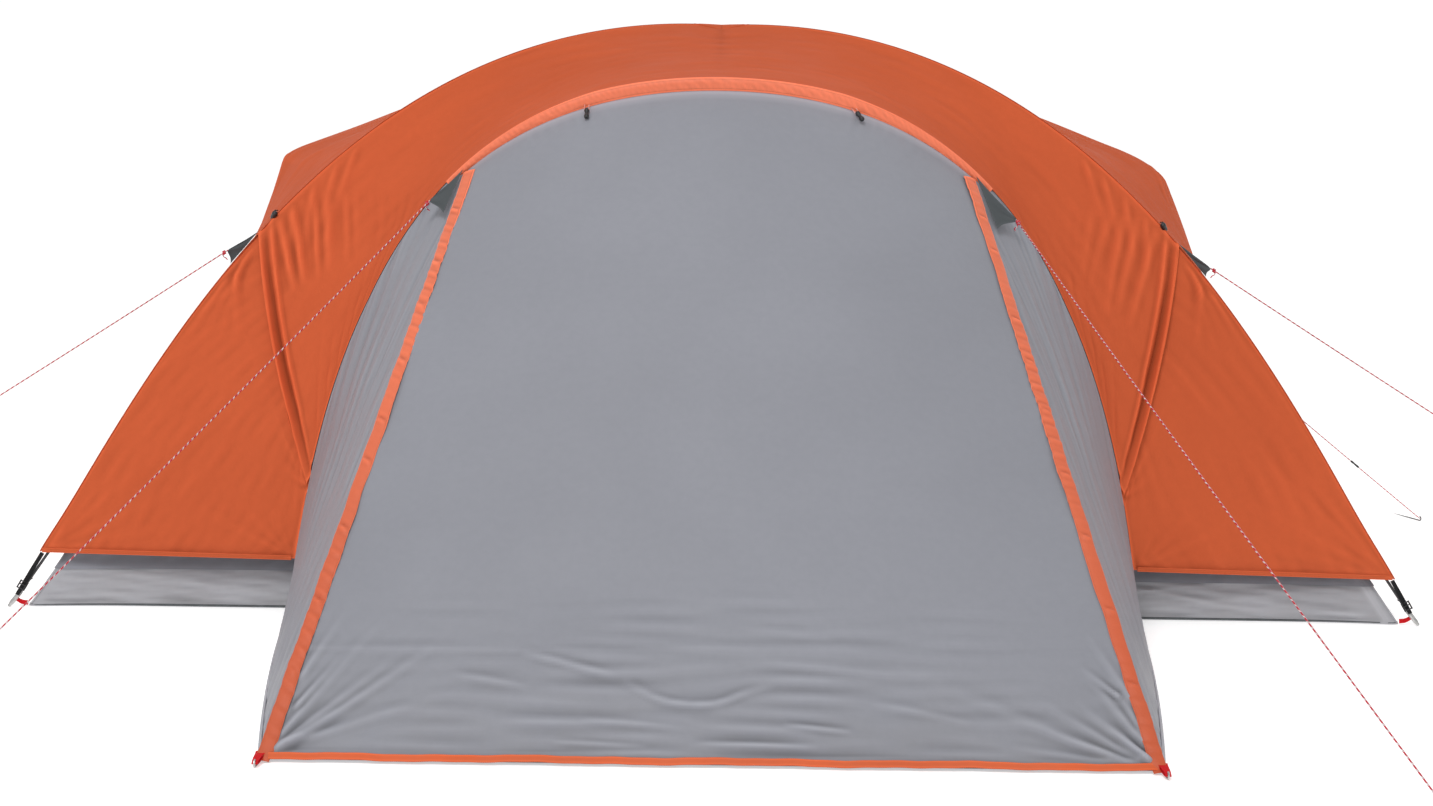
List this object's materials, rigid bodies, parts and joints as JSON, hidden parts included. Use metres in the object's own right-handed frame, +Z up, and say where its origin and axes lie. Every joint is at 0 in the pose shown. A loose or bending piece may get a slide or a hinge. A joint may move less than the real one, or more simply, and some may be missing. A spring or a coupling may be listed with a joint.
{
  "type": "dome tent",
  "caption": "Large dome tent with crossed poles, an arched front, a sloping zipped porch, a tub groundsheet, an inner tent and pegged guylines.",
  "frame": {"origin": "on the ground, at the centre of the tent's plan box without its guylines", "axes": "+X across the tent to the right seen from the porch, -Y towards the porch, +Z up"},
  "size_m": [6.46, 4.5054, 1.95],
  "materials": {
    "fly_fabric": "orange coated polyester taffeta, satin",
    "porch_fabric": "gray coated polyester taffeta, satin",
    "storm_flap_fabric": "bright orange polyester, satin",
    "tub_fabric": "light gray coated sheet",
    "inner_fabric": "light gray breathable polyester",
    "gusset_fabric": "dark gray reinforcing fabric",
    "corner_strap_webbing": "black webbing",
    "hem_loop_webbing": "red webbing",
    "guyline_cord": "red braided cord with pale flecks",
    "pole_fibreglass": "black fibreglass",
    "pole_foot_steel": "zinc-plated steel",
    "peg_steel": "zinc-plated steel wire",
    "runner_plastic": "black moulded plastic",
    "toggle_plastic": "black moulded plastic",
    "zip_slider_plastic": "dark gray moulded slider"
  },
  "bodies": {
    "tent": {"main_pole_left_front": "pole_fibreglass", "main_pole_right_front": "pole_fibreglass", "front_arch_pole": "pole_fibreglass", "roof_pole": "pole_fibreglass", "foot_front_left": "pole_foot_steel", "foot_front_right": "pole_foot_steel", "foot_rear_left": "pole_foot_steel", "foot_rear_right": "pole_foot_steel", "groundsheet_tub": "tub_fabric", "inner_left": "inner_fabric", "inner_right": "inner_fabric", "inner_rear": "inner_fabric", "inner_front": "inner_fabric", "fly_left": "fly_fabric", "fly_right": "fly_fabric", "fly_rear": "fly_fabric", "fly_wing_left": "fly_fabric", "fly_wing_right": "fly_fabric", "fly_front_band": "fly_fabric", "apex_patch": "fly_fabric", "porch_header": "porch_fabric", "porch_side_left": "porch_fabric", "porch_side_right": "porch_fabric", "hem_loop_left": "hem_loop_webbing", "hem_loop_right": "hem_loop_webbing", "hem_peg_left": "peg_steel", "hem_peg_right": "peg_steel", "guy_peg_arch_left": "peg_steel", "guy_peg_arch_right": "peg_steel", "guy_peg_side_left": "peg_steel", "guy_peg_side_right": "peg_steel", "guy_peg_rear_right": "peg_steel", "guyline_arch_left": "guyline_cord", "guyline_arch_right": "guyline_cord", "guyline_side_left": "guyline_cord", "guyline_side_right": "guyline_cord", "guyline_rear_right": "guyline_cord", "gusset_arch_left": "gusset_fabric", "gusset_arch_right": "gusset_fabric", "gusset_front_left": "gusset_fabric", "gusset_front_right": "gusset_fabric", "gusset_rear_left": "gusset_fabric", "gusset_rear_right": "gusset_fabric", "corner_strap_front_left": "corner_strap_webbing", "corner_strap_front_right": "corner_strap_webbing", "corner_strap_rear_left": "corner_strap_webbing", "corner_strap_rear_right": "corner_strap_webbing"},
    "porch_door": {"porch_door": "porch_fabric", "storm_flap_left": "storm_flap_fabric", "storm_flap_right": "storm_flap_fabric"},
    "inner_door": {"inner_door": "inner_fabric"},
    "zip_slider_left": {"zip_slider_left": "zip_slider_plastic"},
    "door_toggle_left": {"door_toggle_left": "toggle_plastic"},
    "zip_slider_right": {"zip_slider_right": "zip_slider_plastic"},
    "door_toggle_right": {"door_toggle_right": "toggle_plastic"},
    "runner_arch_left": {"runner_arch_left": "runner_plastic"},
    "runner_arch_right": {"runner_arch_right": "runner_plastic"},
    "runner_side_left": {"runner_side_left": "runner_plastic"},
    "runner_side_right": {"runner_side_right": "runner_plastic"},
    "runner_rear_right": {"runner_rear_right": "runner_plastic"}
  },
  "joints": [
    {"name": "porch_door_lift", "type": "hinge", "parent": "tent", "child": "porch_door", "pos_m": [0, -0.4526, 1.374], "axis": [-1, 0, 0], "range_deg": [0, 60]},
    {"name": "inner_door_swing", "type": "hinge", "parent": "tent", "child": "inner_door", "pos_m": [-0.52, -0.32942, 0.24], "axis": [0, 0.339, 0.9408], "range_deg": [0, 85]},
    {"name": "zip_left_slide", "type": "slide", "parent": "tent", "child": "zip_slider_left", "axis": [0.1322, 0.722, 0.6791], "range_m": [0, 1.8]},
    {"name": "zip_right_slide", "type": "slide", "parent": "tent", "child": "zip_slider_right", "axis": [-0.1322, 0.722, 0.6791], "range_m": [0, 1.8]},
    {"name": "toggle_left_swing", "type": "hinge", "parent": "tent", "child": "door_toggle_left", "pos_m": [-0.40252, -0.46536, 1.56897], "axis": [-1, 0, 0], "range_deg": [0, 60]},
    {"name": "toggle_right_swing", "type": "hinge", "parent": "tent", "child": "door_toggle_right", "pos_m": [0.40252, -0.46536, 1.56897], "axis": [-1, 0, 0], "range_deg": [0, 60]},
    {"name": "runner_arch_left_slide", "type": "slide", "parent": "tent", "child": "runner_arch_left", "axis": [0.5483, 0.5387, 0.6397], "range_m": [-0.08, 0.6]},
    {"name": "runner_arch_right_slide", "type": "slide", "parent": "tent", "child": "runner_arch_right", "axis": [-0.2537, 0.8215, 0.5106], "range_m": [-0.08, 0.6]},
    {"name": "runner_side_left_slide", "type": "slide", "parent": "tent", "child": "runner_side_left", "axis": [0.7937, 0.2721, 0.544], "range_m": [-0.15, 0.6]},
    {"name": "runner_side_right_slide", "type": "slide", "parent": "tent", "child": "runner_side_right", "axis": [-0.8024, 0.273, 0.5306], "range_m": [-0.15, 0.6]},
    {"name": "runner_rear_right_slide", "type": "slide", "parent": "tent", "child": "runner_rear_right", "axis": [-0.7692, 0.0777, 0.6343], "range_m": [-0.15, 0.6]}
  ]
}
